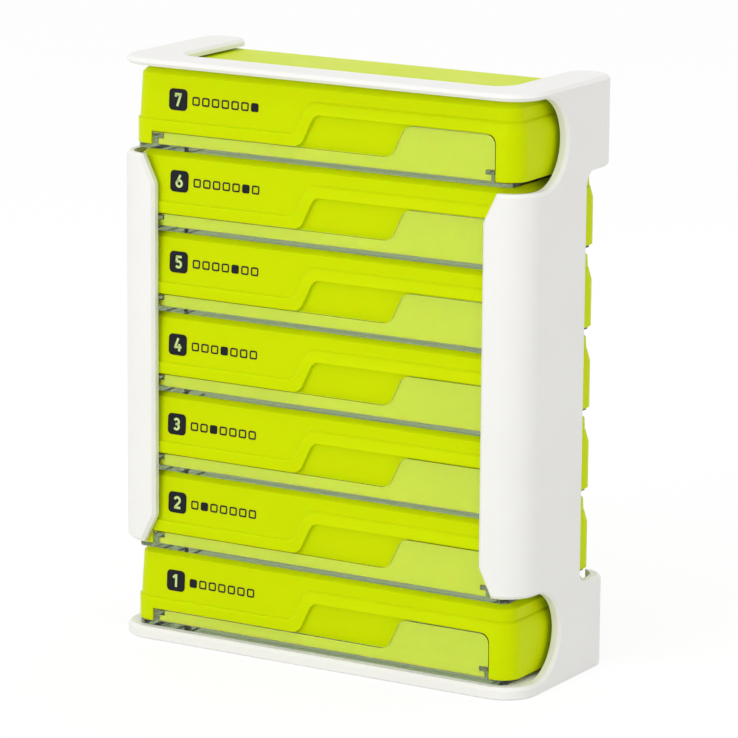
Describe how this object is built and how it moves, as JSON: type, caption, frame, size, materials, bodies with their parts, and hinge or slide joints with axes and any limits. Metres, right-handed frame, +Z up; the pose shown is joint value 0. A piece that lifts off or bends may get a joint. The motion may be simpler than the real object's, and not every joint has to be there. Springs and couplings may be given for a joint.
{
  "type": "weekly pill drawer organizer",
  "caption": "Open white rack holding a stack of flat lidded day boxes; each box has compartments above a clear floor slide with a thumb tab, and pulls out of the rack.",
  "frame": {"origin": "centre of the rack's footprint, on the surface it stands on", "axes": "+Z up, +X to the right along the boxes as seen from the front, +Y from the front to the back"},
  "size_m": [0.119, 0.0456, 0.15],
  "materials": {
    "rack_white": "glossy white moulding",
    "box_green": "glossy yellow-green moulding",
    "slide_clear": "clear polished plastic"
  },
  "bodies": {
    "rack": {"rack": "rack_white"},
    "box_body_1": {"box_body_1": "box_green"},
    "box_body_2": {"box_body_2": "box_green"},
    "box_body_3": {"box_body_3": "box_green"},
    "box_body_4": {"box_body_4": "box_green"},
    "box_body_5": {"box_body_5": "box_green"},
    "box_body_6": {"box_body_6": "box_green"},
    "box_body_7": {"box_body_7": "box_green"},
    "box_slide_1": {"box_slide_1": "slide_clear"},
    "box_slide_2": {"box_slide_2": "slide_clear"},
    "box_slide_3": {"box_slide_3": "slide_clear"},
    "box_slide_4": {"box_slide_4": "slide_clear"},
    "box_slide_5": {"box_slide_5": "slide_clear"},
    "box_slide_6": {"box_slide_6": "slide_clear"},
    "box_slide_7": {"box_slide_7": "slide_clear"}
  },
  "joints": [
    {"name": "box_1_out", "type": "slide", "parent": "rack", "child": "box_body_1", "axis": [0, -1, 0], "range_m": [0, 0.046]},
    {"name": "slide_1_open", "type": "slide", "parent": "box_body_1", "child": "box_slide_1", "axis": [0, -1, 0], "range_m": [0, 0.044]},
    {"name": "box_2_out", "type": "slide", "parent": "rack", "child": "box_slide_2", "axis": [0, 1, 0], "range_m": [0, 0.046]},
    {"name": "slide_2_open", "type": "slide", "parent": "box_slide_2", "child": "box_body_2", "axis": [0, 1, 0], "range_m": [0, 0.044]},
    {"name": "box_3_out", "type": "slide", "parent": "rack", "child": "box_slide_3", "axis": [0, 1, 0], "range_m": [0, 0.046]},
    {"name": "slide_3_open", "type": "slide", "parent": "box_slide_3", "child": "box_body_3", "axis": [0, 1, 0], "range_m": [0, 0.044]},
    {"name": "box_4_out", "type": "slide", "parent": "rack", "child": "box_slide_4", "axis": [0, 1, 0], "range_m": [0, 0.046]},
    {"name": "slide_4_open", "type": "slide", "parent": "box_slide_4", "child": "box_body_4", "axis": [0, 1, 0], "range_m": [0, 0.044]},
    {"name": "box_5_out", "type": "slide", "parent": "rack", "child": "box_slide_5", "axis": [0, 1, 0], "range_m": [0, 0.046]},
    {"name": "slide_5_open", "type": "slide", "parent": "box_slide_5", "child": "box_body_5", "axis": [0, 1, 0], "range_m": [0, 0.044]},
    {"name": "box_6_out", "type": "slide", "parent": "rack", "child": "box_slide_6", "axis": [0, 1, 0], "range_m": [0, 0.046]},
    {"name": "slide_6_open", "type": "slide", "parent": "box_slide_6", "child": "box_body_6", "axis": [0, 1, 0], "range_m": [0, 0.044]},
    {"name": "box_7_out", "type": "slide", "parent": "rack", "child": "box_body_7", "axis": [0, -1, 0], "range_m": [0, 0.046]},
    {"name": "slide_7_open", "type": "slide", "parent": "box_body_7", "child": "box_slide_7", "axis": [0, -1, 0], "range_m": [0, 0.044]}
  ]
}
